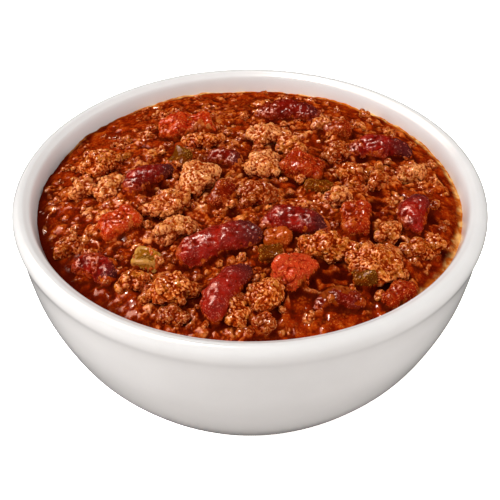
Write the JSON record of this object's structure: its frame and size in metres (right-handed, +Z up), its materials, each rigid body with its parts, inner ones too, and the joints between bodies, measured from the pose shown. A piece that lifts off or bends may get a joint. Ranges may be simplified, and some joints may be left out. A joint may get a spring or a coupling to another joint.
{
  "type": "bowl of chili con carne",
  "caption": "Chili con carne with kidney beans, tomato, diced pepper and clumps of minced beef, filling a round white porcelain bowl on a small foot ring.",
  "frame": {"origin": "centre of the foot ring's underside, where the bowl stands", "axes": "+Z up out of the bowl; +Y away from the side the chili is seen from; +X to the right"},
  "size_m": [0.12, 0.12, 0.0656],
  "materials": {
    "porcelain": "gloss",
    "sauce": "gloss",
    "bean_skin": "gloss",
    "tomato_flesh": "gloss",
    "pepper_flesh": "gloss",
    "minced_beef": "satin"
  },
  "bodies": {
    "root": {"bean_01": "bean_skin", "bean_02": "bean_skin", "bean_03": "bean_skin", "bean_04": "bean_skin", "bean_05": "bean_skin", "bean_06": "bean_skin", "bean_07": "bean_skin", "bean_08": "bean_skin", "bean_09": "bean_skin", "bean_10": "bean_skin", "beef_01": "minced_beef", "beef_02": "minced_beef", "beef_03": "minced_beef", "beef_04": "minced_beef", "beef_05": "minced_beef", "beef_06": "minced_beef", "beef_07": "minced_beef", "beef_08": "minced_beef", "beef_09": "minced_beef", "beef_10": "minced_beef", "beef_11": "minced_beef", "beef_12": "minced_beef", "beef_13": "minced_beef", "beef_14": "minced_beef", "beef_15": "minced_beef", "beef_16": "minced_beef", "beef_17": "minced_beef", "beef_18": "minced_beef", "beef_19": "minced_beef", "beef_20": "minced_beef", "beef_21": "minced_beef", "beef_22": "minced_beef", "beef_23": "minced_beef", "beef_24": "minced_beef", "beef_25": "minced_beef", "beef_26": "minced_beef", "beef_27": "minced_beef", "beef_28": "minced_beef", "bowl": "porcelain", "chili": "sauce", "pepper_01": "pepper_flesh", "pepper_02": "pepper_flesh", "pepper_03": "pepper_flesh", "pepper_04": "pepper_flesh", "pepper_05": "pepper_flesh", "tomato_01": "tomato_flesh", "tomato_02": "tomato_flesh", "tomato_03": "tomato_flesh", "tomato_04": "tomato_flesh", "tomato_05": "tomato_flesh", "tomato_06": "tomato_flesh", "tomato_07": "tomato_flesh", "tomato_08": "tomato_flesh", "tomato_09": "tomato_flesh"}
  },
  "joints": []
}
